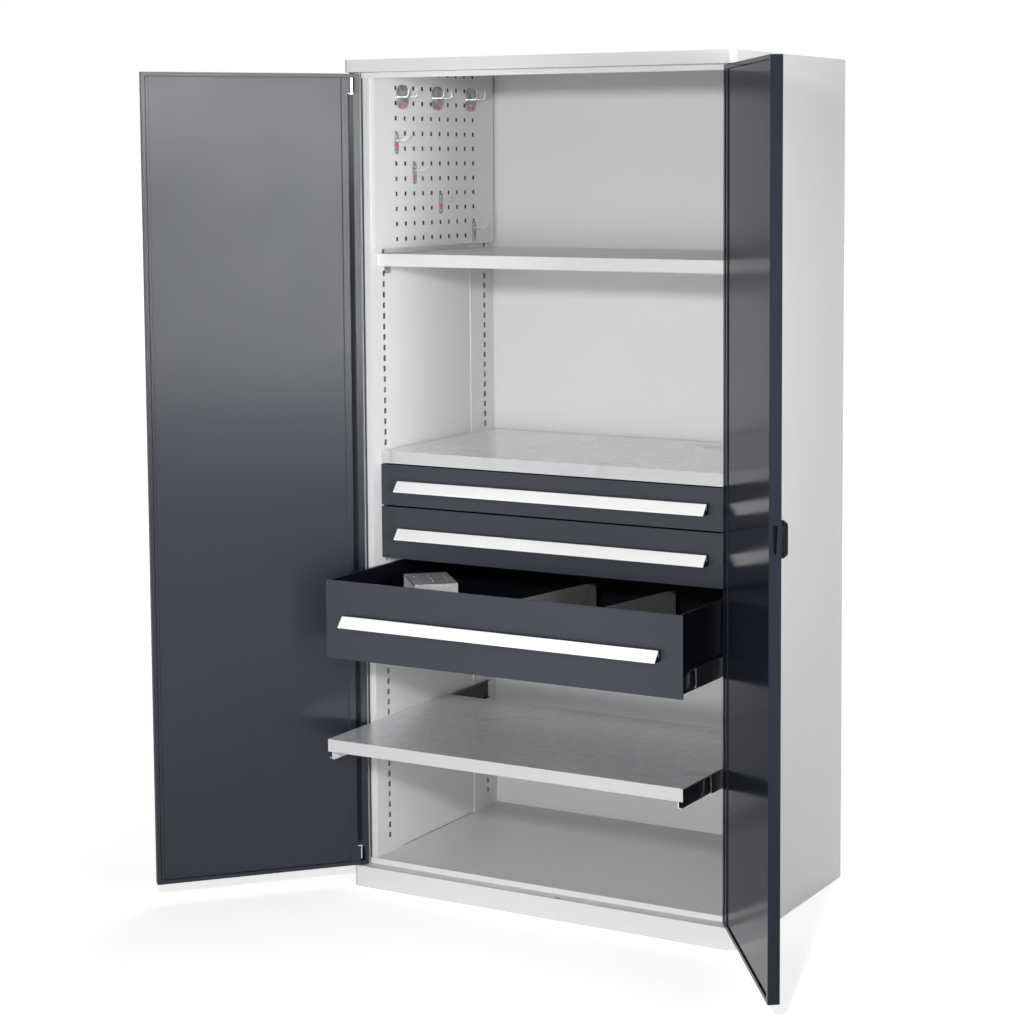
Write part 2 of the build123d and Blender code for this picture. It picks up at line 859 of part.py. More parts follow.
def drawer_grip_seat(low, high, out):
    """Bar that holds the grip strip off the drawer's front, with a plate under either end."""
    front_face = front_y + front_setback - out
    face_y = front_face - grip_seat
    top = (low + high) / 2 + grip_drop / 2
    with BuildPart() as seat:
        with BuildSketch(plane_at_x(-grip_half)):
            with Locations((front_face - grip_seat / 2, top - grip_flange / 2)):
                Rectangle(grip_seat, grip_flange)
        extrude(amount=2 * grip_half)
        for start in (-grip_half, grip_half - grip_end):
            with BuildSketch(plane_at_x(start)):
                with BuildLine():
                    Polyline(
                        (front_face, top - grip_drop),
                        (front_face, top - grip_flange),
                        (face_y - grip_sheet, top - grip_flange),
                        (face_y - grip_sheet, top - 2 * grip_sheet),
                        (face_y - grip_reach, top - grip_drop),
                        close=True,
                    )
                make_face()
            extrude(amount=grip_end)
    return seat


def slide_member(member, z, out, start=slide_start):
    """One member of a pair of slides. member 0 is fixed, 1 the middle one, 2 runs with the drawer."""
    web = (0, slide_inset, slide_thickness)[member]
    lip = (slide_thickness - 4.7, slide_thickness - 2.2, 2 * slide_inset + 0.2)[member]
    tall = slide_height - 2 * member * (slide_sheet + gap)
    x_web = inner_half - web
    x_lip = inner_half - lip
    start_y = front_y + start - out
    with BuildPart() as pair:
        for sign in (-1, 1):
            with BuildSketch(plane_at_y(start_y)):
                sheet_profile(
                    [
                        (sign * x_lip, z + tall / 2),
                        (sign * x_web, z + tall / 2),
                        (sign * x_web, z - tall / 2),
                        (sign * x_lip, z - tall / 2),
                    ],
                    thickness=slide_sheet,
                    side=Side.RIGHT if (sign > 0) == (member < 2) else Side.LEFT,
                )
            extrude(amount=slide_length)
    return pair


slide_heights = []
for number, (low, high, out) in enumerate(zip(drawer_bottoms, drawer_tops, drawer_out), start=1):
    finish(drawer_front(low, high, out), f"drawer_{number}_front")
    finish(drawer_box(low, high, out), f"drawer_{number}_box")
    finish(drawer_grip(low, high, out), f"drawer_{number}_grip")
    finish(drawer_grip_seat(low, high, out), f"drawer_{number}_grip_seat")
    z = low + slide_rise + slide_height / 2
    slide_heights.append(z)
    finish(slide_member(1, z, drawer_follow * out), f"drawer_{number}_middle_slides")
    finish(slide_member(2, z, out), f"drawer_{number}_inner_slides")


# Shelves: a flat field with edges folded down and a hem along the front
def shelf_tray(top, setback, out, field_half):
    start_y = front_y + setback - out
    with BuildPart() as tray:
        with BuildSketch(plane_at_x(-field_half)):
            sheet_profile(
                [
                    (start_y + shelf_hem, top - shelf_edge),
                    (start_y, top - shelf_edge),
                    (start_y, top),
                    (start_y + shelf_depth, top),
                    (start_y + shelf_depth, top - shelf_edge),
                ],
                thickness=shelf_sheet,
                side=Side.RIGHT,
            )
        extrude(amount=2 * field_half)
        for sign in (-1, 1):
            with BuildSketch(Plane.XY.offset(top - shelf_edge)):
                with Locations((sign * (field_half - shelf_sheet / 2), start_y + shelf_depth / 2)):
                    Rectangle(shelf_sheet, shelf_depth)
            extrude(amount=shelf_edge)
    return tray


finish(shelf_tray(upper_shelf_top, upper_shelf_setback, 0, shelf_width / 2), "upper_shelf")
finish(shelf_tray(fixed_shelf_top, fixed_shelf_setback, 0, shelf_width / 2), "fixed_shelf")

# Pull-out shelf: its field and its front edge cover the slides, which hang on two brackets under it
pull_slide_z = pull_shelf_top - shelf_sheet - field_clearance - slide_height / 2
pull_slide_start = front_setback + shelf_sheet + gap
pull_y = front_y + front_setback - pull_shelf_out
with BuildPart() as pullout_shelf:
    with BuildSketch(plane_at_x(-shelf_width / 2)):
        sheet_profile(
            [
                (pull_y, pull_shelf_top - shelf_edge),
                (pull_y, pull_shelf_top),
                (pull_y + shelf_depth, pull_shelf_top),
            ],
            thickness=shelf_sheet,
            side=Side.RIGHT,
        )
    extrude(amount=shelf_width)
    with BuildSketch(Plane.XY.offset(pull_shelf_top - shelf_edge)):
        with Locations((0, pull_y + shelf_hem / 2)):
            Rectangle(2 * box_low_half, shelf_hem)
    extrude(amount=shelf_sheet)
    with BuildSketch(Plane.XY.offset(pull_shelf_top - shelf_edge)):
        with Locations((0, pull_y + shelf_depth - shelf_sheet / 2)):
            Rectangle(2 * (box_low_half - shelf_edge), shelf_sheet)
    extrude(amount=shelf_edge)
    for sign in (-1, 1):
        bracket_x = sign * (box_low_half - shelf_sheet / 2)
        with BuildSketch(Plane.XY.offset(pull_slide_z - slide_height / 2)):
            with Locations((bracket_x, front_y + pull_slide_start - pull_shelf_out + slide_length / 2)):
                Rectangle(shelf_sheet, slide_length)
        extrude(amount=slide_height + field_clearance)
finish(pullout_shelf, "pullout_shelf")
finish(
    slide_member(1, pull_slide_z, shelf_follow * pull_shelf_out, pull_slide_start),
    "shelf_middle_slides",
)
finish(slide_member(2, pull_slide_z, pull_shelf_out, pull_slide_start), "shelf_inner_slides")

# Fixed slide members, all screwed to the uprights
with BuildPart() as slide_outer_members:
    for z in slide_heights:
        add(slide_member(0, z, 0).part)
    add(slide_member(0, pull_slide_z, 0, pull_slide_start).part)
finish(slide_outer_members, "slide_outer_members")

# Shelf clips: angle brackets that hang in the slots under both fixed shelves
with BuildPart() as shelf_clips:
    plate_x = shelf_width / 2
    for top in (upper_shelf_top, fixed_shelf_top):
        seat = top - shelf_edge
        for sign in (-1, 1):
            for y in (front_slot_y + clip_shift, rear_slot_y):
                with BuildSketch(plane_at_y(y - clip_width / 2)):
                    with BuildLine():
                        Polyline(
                            (sign * inner_half, seat),
                            (sign * (plate_x - clip_reach), seat),
                            (sign * (plate_x - clip_reach), seat - clip_sheet),
                            (sign * (inner_half - clip_sheet), seat - clip_sheet),
                            (sign * (inner_half - clip_sheet), seat - clip_drop),
                            (sign * inner_half, seat - clip_drop),
                            close=True,
                        )
                    make_face()
                extrude(amount=clip_width)
finish(shelf_clips, "shelf_clips")

# Perforated panel on the left wall
panel_x = inner_half - panel_return
panel_y = front_y + panel_front
with BuildPart() as perforated_panel:
    with BuildSketch(Plane.XY.offset(panel_bottom)):
        sheet_profile(
            [
                (-inner_half, panel_y),
                (-panel_x, panel_y),
                (-panel_x, panel_y + panel_width),
                (-inner_half, panel_y + panel_width),
            ],
        )
    extrude(amount=ceiling_z - panel_bottom)
    with BuildSketch(Plane.XY.offset(panel_bottom)):
        with Locations((-(inner_half + panel_x) / 2, panel_y + panel_width / 2)):
            Rectangle(panel_return, panel_width)
    extrude(amount=sheet)
    hole_middle_y = front_y + hole_first_y + (hole_columns - 1) * hole_pitch_y / 2
    hole_middle_z = hole_first_z + (hole_rows - 1) * hole_pitch_z / 2
    with BuildSketch(plane_at_x(-panel_x - sheet)):
        with Locations((hole_middle_y, hole_middle_z)):
            with GridLocations(hole_pitch_y, hole_pitch_z, hole_columns, hole_rows):
                Rectangle(hole_size, hole_size)
    extrude(amount=sheet, mode=Mode.SUBTRACT)
finish(perforated_panel, "perforated_panel")


def hole_at(column, row):
    """Centre of a hole in the panel, counted from the front and from the bottom."""
    return front_y + hole_first_y + column * hole_pitch_y, hole_first_z + row * hole_pitch_z


def hook_wire(y, z, reach, tip, lean):
    """One round wire that stands out of its plate and turns up at the end."""
    start = -panel_x + plate_sheet / 2
    bend = 2 * wire_radius
    out, up = sin(radians(lean)), cos(radians(lean))
    with BuildLine(Plane(origin=(0, y, 0), x_dir=(1, 0, 0), z_dir=(0, -1, 0))) as run:
        Polyline(
            (start, z),
            (start + reach - bend, z),
            (start + reach + bend * out, z + bend * up),
            (start + reach + tip * out, z + tip * up),
        )
    with BuildSketch(Plane(origin=(start, y, z), z_dir=(1, 0, 0))) as section:
        RegularPolygon(wire_radius, wire_sides)
    sweep(section.sketch, path=run.wires()[0], transition=Transition.RIGHT)


# Double hooks: a plate with round shoulders, a pressed cross rib and two upright prongs
double_places = [hole_at(column, 9.41) for column in (0.72, 4.72, 8.72)]
with BuildPart() as double_hooks:
    for y, z in double_places:
        with BuildSketch(plane_at_x(-panel_x)):
            with Locations((y, z)):
                rounded_plate(double_width, double_height, double_corner, double_steps)
        extrude(amount=plate_sheet)
        with BuildSketch(plane_at_x(-panel_x + plate_sheet / 2)):
            with Locations((y, z)):
                Rectangle(double_width, 2 * wire_radius)
        extrude(amount=plate_sheet)
        for side in (-1, 1):
            hook_wire(y + side * hole_pitch_y / 2, z, double_reach, double_tip, 0)
finish(double_hooks, "double_hooks")

# Single hooks: a narrow plate with an eye above and below the prong
single_places = [hole_at(0, 6.35), hole_at(2, 4.35), hole_at(5, 2.3), hole_at(9, 0.3)]
single_ends = ((28, 17, 52), (27, 18, 58), (30, 18, 0), (33, 13, 50))
with BuildPart() as single_hooks:
    for (y, z), (reach, tip, lean) in zip(single_places, single_ends):
        with BuildSketch(plane_at_x(-panel_x)):
            with Locations((y, z)):
                rounded_plate(single_width, single_height, single_corner, single_steps)
            with Locations((y, z + single_eye), (y, z - single_eye)):
                RegularPolygon(single_eye_radius, wire_sides, mode=Mode.SUBTRACT)
        extrude(amount=plate_sheet)
        hook_wire(y, z + cap_drop, reach, tip, lean)
finish(single_hooks, "single_hooks")

# Red caps that lock the hooks in their holes
with BuildPart() as hook_caps:
    double_spots = [(y + side * cap_spread, z - double_cap_drop) for y, z in double_places for side in (-1, 1)]
    single_spots = [(y, z - cap_drop) for y, z in single_places]
    for spots, radius in ((double_spots, double_cap_radius), (single_spots, single_cap_radius)):
        with BuildSketch(plane_at_x(-panel_x + plate_sheet)):
            with Locations(*spots):
                RegularPolygon(radius, wire_sides)
        extrude(amount=cap_height, taper=20)
finish(hook_caps, "hook_caps")

# Partitions in the lowest drawer
low, high, out = drawer_bottoms[2], drawer_tops[2], drawer_out[2]
inside_y = front_y + front_setback + front_depth + box_sheet - out
inside_z = low + box_floor + box_sheet
partition_length = box_depth - partition_gap
with BuildPart() as drawer_3_partitions:
    for bays in (2, 1):
        x = box_low_half - bays * bay_width
        with BuildSketch(plane_at_x(x)):
            with BuildLine():
                Polyline(
                    (inside_y, inside_z),
                    (inside_y + partition_length, inside_z),
                    (inside_y + partition_length, high - partition_fall),
                    (inside_y, high - hem_height - partition_step),
                    close=True,
                )
            make_face()
        extrude(amount=sheet)
        with BuildSketch(Plane.XY.offset(inside_z)):
            with Locations((x + partition_foot / 2, inside_y + partition_length / 2)):
                Rectangle(partition_foot, partition_length)
        extrude(amount=sheet)
finish(drawer_3_partitions, "drawer_3_partitions")

# Punched tray that stands at the left of the lowest drawer, a bridge folded down on both sides
tray_top = high - tray_drop
tray_x = tray_inset - box_low_half
with BuildPart() as punched_plate:
    along = (cos(radians(tray_turn)), sin(radians(tray_turn)), 0)
    across = (-sin(radians(tray_turn)), cos(radians(tray_turn)), 0)
    with BuildSketch(Plane(origin=(tray_x, inside_y + tray_y, 0), x_dir=across, z_dir=along)):
        sheet_profile(
            [
                (0, inside_z),
                (0, tray_top),
                (tray_depth, tray_top),
                (tray_depth, inside_z),
            ],
            side=Side.RIGHT,
        )
    extrude(amount=tray_length)
    with BuildSketch(Plane(origin=(tray_x, inside_y + tray_y, tray_top), x_dir=along, z_dir=(0, 0, 1))):
        with Locations((tray_length / 2, tray_depth / 2)):
            with GridLocations(tray_pitch, tray_pitch, 3, 3):
                RegularPolygon(tray_hole, 6)
    extrude(amount=-sheet, mode=Mode.SUBTRACT)
finish(punched_plate, "punched_plate")
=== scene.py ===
"""Studio look of the storage cabinet: powder-coated, galvanised and plated steel on a white floor."""
import json
import math

import bpy
from mathutils import Matrix, Vector

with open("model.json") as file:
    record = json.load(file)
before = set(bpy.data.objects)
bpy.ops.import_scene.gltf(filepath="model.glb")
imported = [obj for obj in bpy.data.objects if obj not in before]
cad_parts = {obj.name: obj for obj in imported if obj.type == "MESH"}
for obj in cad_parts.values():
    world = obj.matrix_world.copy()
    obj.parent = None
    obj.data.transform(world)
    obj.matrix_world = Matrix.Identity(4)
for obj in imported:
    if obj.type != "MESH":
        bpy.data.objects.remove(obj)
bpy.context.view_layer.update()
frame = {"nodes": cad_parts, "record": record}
nodes = frame["nodes"]
scene = bpy.context.scene


def corners(name):
    """Lowest and highest corner of a node's box."""
    points = [nodes[name].matrix_world @ v.co for v in nodes[name].data.vertices]
    return [Vector(pick(p[axis] for p in points) for axis in range(3)) for pick in (min, max)]


# Places that a few finishes depend on, in metres; most bound the near-black painted shade on covered steel,
# wire_start bounds the hook wires
panel_low, panel_high = corners("perforated_panel")
front_upright_end = corners("upright_front_left")[1].y
rear_upright_start = corners("upright_rear_left")[0].y
seam = 0.0015                 # covered steel starts this far behind the edge that covers it
covered_from_below = 0.003    # the perforated panel covers what is this far above its lower edge
covered_from_front = 0.012    # and this far behind its front edge
wire_start = 0.0025           # hook wires start this far in front of the panel

# Sockets of the Mix node in its colour mode
mix_a, mix_b, mix_result = 6, 7, 2


class Graph:
    """Short calls for building a material's node tree."""

    def __init__(self, name):
        self.material = bpy.data.materials.new(name)
        self.material.use_nodes = True
        self.tree = self.material.node_tree
        self.tree.nodes.clear()
        self.output = self.add("ShaderNodeOutputMaterial")
        self.shader = self.add("ShaderNodeBsdfPrincipled")
        self.link(self.shader.outputs["BSDF"], self.output.inputs["Surface"])
        self.place = self.add("ShaderNodeTexCoord").outputs["Object"]

    def add(self, kind, **settings):
        node = self.tree.nodes.new(kind)
        for key, value in settings.items():
            setattr(node, key, value)
        return node

    def link(self, start, end):
        self.tree.links.new(start, end)

    def put(self, socket, value):
        if isinstance(value, bpy.types.NodeSocket):
            self.link(value, socket)
        else:
            socket.default_value = value

    def scaled(self, factors):
        node = self.add("ShaderNodeMapping")
        node.inputs["Scale"].default_value = factors
        self.link(self.place, node.inputs["Vector"])
        return node.outputs["Vector"]

    def noise(self, scale, detail=3.0, rough=0.55, vector=None):
        node = self.add("ShaderNodeTexNoise")
        node.inputs["Scale"].default_value = scale
        node.inputs["Detail"].default_value = detail
        node.inputs["Roughness"].default_value = rough
        self.link(vector or self.place, node.inputs["Vector"])
        return node.outputs["Fac"]

    def cells(self, scale, vector=None):
        node = self.add("ShaderNodeTexVoronoi")
        node.inputs["Scale"].default_value = scale
        self.link(vector or self.place, node.inputs["Vector"])
        parts = self.add("ShaderNodeSeparateColor")
        self.link(node.outputs["Color"], parts.inputs[0])
        return parts.outputs

    def ranged(self, value, low, high, to_low, to_high):
        node = self.add("ShaderNodeMapRange")
        self.put(node.inputs["Value"], value)
        node.inputs["From Min"].default_value = low
        node.inputs["From Max"].default_value = high
        self.put(node.inputs["To Min"], to_low)
        self.put(node.inputs["To Max"], to_high)
        return node.outputs["Result"]

    def math(self, operation, a, b=0.0):
        node = self.add("ShaderNodeMath", operation=operation)
        self.put(node.inputs[0], a)
        self.put(node.inputs[1], b)
        return node.outputs[0]

    def mix(self, factor, a, b):
        node = self.add("ShaderNodeMix", data_type="RGBA")
        self.put(node.inputs["Factor"], factor)
        self.put(node.inputs[mix_a], a)
        self.put(node.inputs[mix_b], b)
        return node.outputs[mix_result]

    def bump(self, height, strength, distance, normal=None):
        node = self.add("ShaderNodeBump")
        node.inputs["Strength"].default_value = strength
        node.inputs["Distance"].default_value = distance
        self.link(height, node.inputs["Height"])
        if normal is not None:
            self.link(normal, node.inputs["Normal"])
        return node.outputs["Normal"]

    def axes(self, vector):
        node = self.add("ShaderNodeSeparateXYZ")
        self.link(vector, node.inputs[0])
        return node.outputs

    def edge(self, radius):
        """1 on sharp edges and 0 on flat faces, over the given radius."""
        bevel = self.add("ShaderNodeBevel", samples=4)
        bevel.inputs["Radius"].default_value = radius
        flat = self.add("ShaderNodeNewGeometry").outputs["Normal"]
        dot = self.add("ShaderNodeVectorMath", operation="DOT_PRODUCT")
        self.link(bevel.outputs["Normal"], dot.inputs[0])
        self.link(flat, dot.inputs[1])
        return self.ranged(dot.outputs["Value"], 0.98, 0.75, 0.0, 1.0)

    def stretch_sideways(self, amount):
        """Widen the gloss along the level direction of every upright face."""
        nearly_up = (0.02, 0.03, 1.0)
        flat = self.add("ShaderNodeNewGeometry").outputs["Normal"]
        level = self.add("ShaderNodeVectorMath", operation="CROSS_PRODUCT")
        level.inputs[1].default_value = nearly_up
        self.link(flat, level.inputs[0])
        self.link(level.outputs[0], self.shader.inputs["Tangent"])
        self.shader.inputs["Anisotropic"].default_value = amount

    def finish(self, color, rough, metallic=0.0, normal=None, specular=0.5):
        inputs = self.shader.inputs
        self.put(inputs["Base Color"], color)
        self.put(inputs["Roughness"], rough)
        self.put(inputs["Metallic"], metallic)
        inputs["Specular IOR Level"].default_value = specular
        if normal is not None:
            self.link(normal, inputs["Normal"])
        return self.material


def rgb(red, green, blue):
    return (red, green, blue, 1.0)


def shade(color, factor, lift=0.0):
    return rgb(*[min(1.0, c * factor + lift) for c in color])


def powder_coat(name, color, rough, peel, specular=0.5, spread=0.02, rubbed_tone=1.1, sideways=0.0, dark=None):
    """Baked powder coat: fine orange peel, a faint mottle, rubbed edges and a trace of dust low down.

    dark is a function that gives 1 where the sheet is covered and sees no light; there the colour is painted near
    black as painted shade.
    """
    edge_radius, dust_height = 0.0012, 0.30
    g = Graph(name)
    mottle = g.ranged(g.noise(3.5), 0.3, 0.7, 0.0, 1.0)
    tone = g.mix(mottle, shade(color, 1 - spread), shade(color, 1 + spread))
    wear = g.ranged(g.noise(60.0, 5.0), 0.4, 0.65, 0.1, 0.7)
    rubbed = g.math("MULTIPLY", g.edge(edge_radius), wear)
    tone = g.mix(rubbed, tone, shade(color, rubbed_tone, 0.008))
    across, along, height = g.axes(g.place)
    low = g.ranged(height, 0.0, dust_height, 0.05, 0.0)
    dust = g.math("MULTIPLY", low, g.ranged(g.noise(40.0, 6.0, 0.7), 0.40, 0.75, 0.0, 1.0))
    tone = g.mix(dust, tone, shade(color, 1.0, 0.06))
    # Painted shade: covered steel that the dark mask marks is coloured near black
    if dark:
        tone = g.mix(dark(g, across, along, height), tone, rgb(0.008, 0.008, 0.010))
    smear = g.ranged(g.noise(9.0, 4.0), 0.3, 0.7, rough * 0.96, rough * 1.04)
    rough_out = g.math("ADD", smear, g.math("MULTIPLY", rubbed, 0.06))
    wave = g.bump(g.noise(70.0, 2.0), peel * 0.3, 0.0006)
    normal = g.bump(g.noise(420.0, 2.0), peel, 0.0003, wave)
    if sideways:
        g.stretch_sideways(sideways)
    return g.finish(tone, rough_out, normal=normal, specular=specular)


def behind_panel(g, across, along, height):
    """1 on the slotted steel that the perforated panel covers, where no light gets in: the mask for near-black
    painted shade.
    """
    above = g.math("GREATER_THAN", height, panel_low.z + covered_from_below)
    inward = g.math("GREATER_THAN", along, panel_low.y + covered_from_front)
    behind = g.math("LESS_THAN", across, panel_high.x - seam)
    return g.math("MULTIPLY", g.math("MULTIPLY", above, inward), behind)


def behind_steel(g, across, along, height):
    """1 on the wall liners where an upright or the perforated panel stands in front of them: the mask for
    near-black painted shade.
    """
    front = g.math("LESS_THAN", along, front_upright_end - seam)
    rear = g.math("GREATER_THAN", along, rear_upright_start + seam)
    return g.math("MAXIMUM", g.math("MAXIMUM", front, rear), behind_panel(g, across, along, height))


def into_hollow(side):
    """A mask with 1 on the faces of a side panel that look into the wall's hollow, along side * X, for near-black
    painted shade.
    """
    def mask(g, across, along, height):
        facing = g.axes(g.add("ShaderNodeTexCoord").outputs["Normal"])[0]
        return g.math("GREATER_THAN", g.math("MULTIPLY", facing, side), 0.5)
    return mask


def galvanised(name, painted_shade_scale=1.0):
    """Hot-dip zinc: pale crystals of slightly different gloss, a dull bloom, scratches, and painted shade: faces
    that look along Y are darker, and the whole colour is darker when painted_shade_scale is below 1.
    """
    g = Graph(name)
    # Crystals of two sizes, with borders that a coarse noise bends
    swirl = g.add("ShaderNodeTexNoise")
    swirl.inputs["Scale"].default_value = 30.0
    g.link(g.place, swirl.inputs["Vector"])
    small = g.add("ShaderNodeVectorMath", operation="SCALE")
    small.inputs["Scale"].default_value = 0.012
    g.link(swirl.outputs["Color"], small.inputs[0])
    warp = g.add("ShaderNodeVectorMath", operation="ADD")
    g.link(g.place, warp.inputs[0])
    g.link(small.outputs[0], warp.inputs[1])
    crystal = g.cells(85.0, warp.outputs[0])
    fine = g.cells(260.0, warp.outputs[0])
    value = g.math("ADD", g.math("MULTIPLY", crystal[0], 0.6), g.math("MULTIPLY", fine[0], 0.4))
    # painted_shade_scale below 1 darkens the whole zinc colour as painted shade
    zinc_grey = [painted_shade_scale * c for c in (0.84, 0.845, 0.855)]
    tone = g.mix(value, shade(zinc_grey, 0.90), shade(zinc_grey, 1.06))
    # Painted shade: faces that look along Y, such as the front lips, are coloured darker
    facing = g.axes(g.add("ShaderNodeTexCoord").outputs["Normal"])[1]
    facing_y_painted_shade = g.ranged(g.math("ABSOLUTE", facing), 0.6, 0.9, 0.0, 1.0)
    tone = g.mix(facing_y_painted_shade, tone, shade(zinc_grey, 0.62))
    bloom = g.ranged(g.noise(7.0, 5.0, 0.6), 0.60, 0.74, 0.0, 0.45)
    tone = g.mix(bloom, tone, shade(zinc_grey, 0.45))
    rough = g.ranged(crystal[1], 0.0, 1.0, 0.22, 0.26)
    drawn = g.noise(40.0, 4.0, 0.6, g.scaled((1.0, 22.0, 22.0)))
    normal = g.bump(drawn, 0.02, 0.0002, g.bump(crystal[2], 0.012, 0.0003))
    return g.finish(tone, rough, metallic=0.5, normal=normal)


# Drawn lines run along the axis whose scale is smallest
along_x, along_y, along_z = (1.0, 60.0, 60.0), (40.0, 1.0, 40.0), (40.0, 40.0, 1.0)


def plated(name, color, rough, brush, depth=0.05, spread=0.05, metallic=1.0):
    """Plated or anodised metal with drawn lines along one direction and handled, duller patches."""
    g = Graph(name)
    lines = g.noise(12.0, 5.0, 0.65, g.scaled(brush))
    patch = g.noise(14.0, 4.0)
    tone = g.mix(g.ranged(lines, 0.3, 0.7, 0.0, 1.0), shade(color, 1 - spread), shade(color, 1 + spread))
    tone = g.mix(g.ranged(patch, 0.45, 0.75, 0.0, 0.3), tone, shade(color, 1 - spread))
    rough_out = g.ranged(patch, 0.3, 0.7, rough * 0.85, rough * 1.2)
    return g.finish(tone, rough_out, metallic=metallic, normal=g.bump(lines, depth, 0.0002))


def slide_steel(name):
    """Blackened runner rail with bright sheared ends and bright rubbed edges."""
    g = Graph(name)
    lines = g.noise(12.0, 5.0, 0.65, g.scaled(along_y))
    facing = g.axes(g.add("ShaderNodeTexCoord").outputs["Normal"])[1]
    sheared = g.ranged(g.math("ABSOLUTE", facing), 0.7, 0.9, 0.0, 1.0)
    bright = g.math("MAXIMUM", sheared, g.math("MULTIPLY", g.edge(0.0010), 0.75))
    dark = g.mix(g.ranged(lines, 0.3, 0.7, 0.0, 1.0), rgb(0.020, 0.020, 0.024), rgb(0.034, 0.034, 0.040))
    tone = g.mix(bright, dark, rgb(0.72, 0.73, 0.75))
    rough = g.ranged(g.noise(30.0), 0.3, 0.7, 0.16, 0.26)
    metallic = g.ranged(bright, 0.0, 1.0, 0.25, 1.0)
    return g.finish(tone, rough, metallic=metallic, normal=g.bump(lines, 0.05, 0.0002))


def hook_steel(name):
    """Satin grey back plates that carry chromed wires."""
    g = Graph(name)
    across = g.axes(g.place)[0]
    wire = g.math("GREATER_THAN", across, panel_high.x + wire_start)
    patch = g.noise(60.0, 4.0)
    plate = g.mix(g.ranged(patch, 0.35, 0.65, 0.0, 1.0), rgb(0.20, 0.20, 0.21), rgb(0.44, 0.44, 0.45))
    tone = g.mix(wire, plate, rgb(0.80, 0.81, 0.82))
    satin = g.ranged(patch, 0.3, 0.7, 0.30, 0.40)
    rough = g.math("MULTIPLY", satin, g.ranged(wire, 0.0, 1.0, 1.0, 0.32))
    metallic = g.ranged(wire, 0.0, 1.0, 0.55, 1.0)
    return g.finish(tone, rough, metallic=metallic, normal=g.bump(g.noise(300.0, 2.0), 0.06, 0.0002))


def plastic(name, color, rough, grain=0.12, specular=0.5):
    """Moulded plastic with a fine eroded grain and slightly polished edges."""
    g = Graph(name)
    tone = g.mix(g.ranged(g.noise(30.0), 0.3, 0.7, 0.0, 1.0), shade(color, 0.88), shade(color, 1.15, 0.001))
    tone = g.mix(g.math("MULTIPLY", g.edge(0.0008), 0.3), tone, shade(color, 1.4, 0.003))
    rough_out = g.ranged(g.noise(80.0), 0.3, 0.7, rough * 0.88, rough * 1.12)
    return g.finish(tone, rough_out, normal=g.bump(g.noise(900.0, 2.0), grain, 0.0002), specular=specular)


def carcass_coat(name, dark=None):
    """The light grey of the carcass, with near-black painted shade where the dark mask gives 1."""
    return powder_coat(name, (0.63, 0.63, 0.635), rough=0.34, peel=0.08, spread=0.008, rubbed_tone=1.04, dark=dark)


gloss_color = (0.012, 0.014, 0.022)
mirror_color = (0.014, 0.016, 0.024)
drawer_color = (0.028, 0.031, 0.040)
inside_color = (0.0045, 0.0042, 0.008)
paints = {
    "carcass_paint": carcass_coat("carcass_grey"),
    "door_paint": powder_coat(
        "anthracite_gloss", gloss_color, rough=0.38, peel=0.012, specular=0.42, rubbed_tone=1.3, sideways=1.0
    ),
    "drawer_paint": powder_coat(
        "anthracite_satin", drawer_color, rough=0.34, peel=0.06, specular=0.35, rubbed_tone=1.4
    ),
    "drawer_inside": powder_coat(
        "dark_inside", inside_color, rough=0.40, peel=0.06, specular=0.15, spread=0.03, rubbed_tone=1.5
    ),
    "galvanised": galvanised("galvanised_steel"),
    "aluminium": plated(
        "anodised_aluminium", (0.93, 0.93, 0.93), 0.36, along_x, depth=0.03, spread=0.015, metallic=0.35
    ),
    "chrome": plated("chrome_plate", (0.80, 0.81, 0.82), 0.14, along_z, depth=0.02),
    "zinc": plated("zinc_plate", (0.55, 0.56, 0.58), 0.28, along_y, depth=0.06, spread=0.07),
    "black_plastic": plastic("black_plastic", (0.006, 0.006, 0.007), 0.34, specular=0.04),
    "red_plastic": plastic("red_plastic", (0.60, 0.085, 0.085), 0.42),
}

# Nodes whose finish differs from their slot's; the uprights, liners and side panels carry near-black painted shade
# on covered steel, and the drawer 3 partitions a darker galvanised copy as painted shade
mirror_coat = powder_coat(
    "anthracite_mirror", mirror_color, rough=0.15, peel=0.010, specular=0.07, rubbed_tone=1.3
)
covered_upright = carcass_coat("carcass_grey_upright_painted_shade", behind_panel)
liner = carcass_coat("carcass_grey_liner_painted_shade", behind_steel)
hooks = hook_steel("hook_steel")
special = {
    "right_door_shell": mirror_coat,
    "right_door_liner": mirror_coat,
    "side_panel_left": carcass_coat("carcass_grey_left_painted_shade", into_hollow(1)),
    "side_panel_right": carcass_coat("carcass_grey_right_painted_shade", into_hollow(-1)),
    "upright_front_left": covered_upright,
    "upright_rear_left": covered_upright,
    "wall_liner_left": liner,
    "wall_liner_right": liner,
    "drawer_3_partitions": galvanised("galvanised_painted_shade", 0.42),
    "double_hooks": hooks,
    "single_hooks": hooks,
}
rails = slide_steel("blackened_rail")
slot_of = {s["node"]: s["material_slot"] for s in frame["record"]["subparts"]}
for name, obj in nodes.items():
    finish = special.get(name, paints[slot_of[name]])
    if "slide" in name:
        finish = rails
    obj.data.materials.clear()
    obj.data.materials.append(finish)

# Rolled sheet edges catch the light on the fronts, the shelves and the plinth, widths in metres
rolled_edges = {
    "drawer_1_front": 0.0010,
    "drawer_2_front": 0.0010,
    "drawer_3_front": 0.0010,
    "fixed_shelf": 0.0008,
    "pullout_shelf": 0.0008,
    "upper_shelf": 0.0010,
    "plinth": 0.0012,
}
sharp_angle = math.radians(50)
for name, width in rolled_edges.items():
    bevel = nodes[name].modifiers.new("rolled_edge", "BEVEL")
    bevel.width = width
    bevel.segments = 2
    bevel.limit_method = "ANGLE"
    bevel.angle_limit = sharp_angle
    bevel.harden_normals = True


